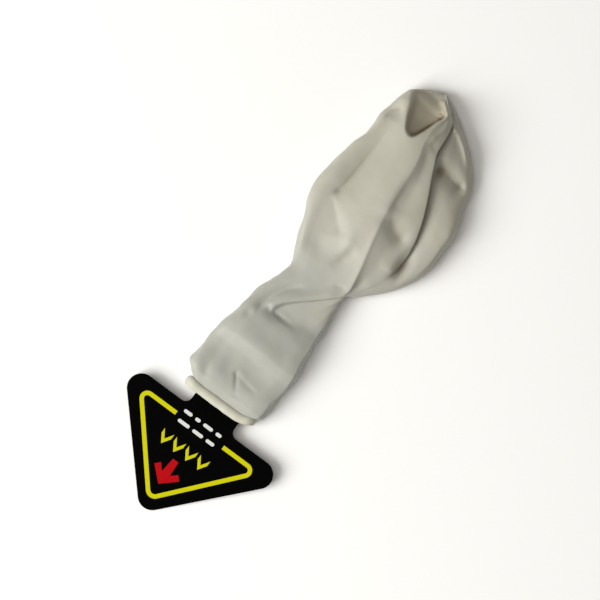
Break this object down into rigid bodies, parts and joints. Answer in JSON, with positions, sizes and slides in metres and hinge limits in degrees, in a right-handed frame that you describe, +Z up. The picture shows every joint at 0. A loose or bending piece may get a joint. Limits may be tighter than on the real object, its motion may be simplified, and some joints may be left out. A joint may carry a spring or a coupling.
{
  "type": "light-up latex balloon",
  "caption": "Uninflated round latex balloon with a rolled mouth bead, a small light unit stuck inside its neck and a triangular card pull tab that frees the unit's contact.",
  "frame": {"origin": "on the surface the balloon lies on, under the middle of the bounding box", "axes": "+X from the card's tip through the mouth to the balloon's crown; +Z up; +Y to the left seen along +X"},
  "size_m": [0.154, 0.0526, 0.0152],
  "materials": {
    "latex": "soft satin, powdered",
    "foam": "matt closed-cell foam",
    "white_plastic": "satin moulded",
    "steel": "nickel-plated",
    "gasket": "matt",
    "lithium": "dull metal",
    "separator": "matt",
    "cathode": "pressed powder",
    "bronze": "rolled sheet",
    "epoxy": "clear, glossy",
    "phosphor": "matt",
    "film": "clear, glossy",
    "tape": "satin",
    "black_card": "coated, satin, printed"
  },
  "bodies": {
    "balloon": {"balloon_envelope": "latex", "mouth_bead": "latex", "foam_pad": "foam", "light_unit_base": "white_plastic", "light_unit_cover": "white_plastic", "coin_cell_can": "steel", "coin_cell_gasket": "gasket", "coin_cell_cap": "steel", "coin_cell_lithium_disc": "lithium", "coin_cell_separator": "separator", "coin_cell_cathode_pellet": "cathode", "top_contact_plate": "bronze", "leaf_anchor_tab": "bronze", "lamp_lens": "epoxy", "lamp_anode_lead": "steel", "lamp_cathode_lead": "steel", "lamp_chip": "phosphor"},
    "pull_tab": {"pull_strip": "film", "strip_tape": "tape", "tab_card": "black_card"},
    "leaf": {"contact_leaf": "bronze"}
  },
  "joints": [
    {"name": "tab_pull", "type": "slide", "parent": "balloon", "child": "pull_tab", "axis": [-1, 0, 0], "range_m": [0, 0.03]},
    {"name": "leaf_rise", "type": "hinge", "parent": "balloon", "child": "leaf", "pos_m": [-0.0215, 0, 0.0021], "axis": [0, 1, 0], "range_deg": [0, 2.8]}
  ],
  "couplings": [
    {"joint": "leaf_rise", "follows": "tab_pull", "rad_per_m": 1.6}
  ]
}
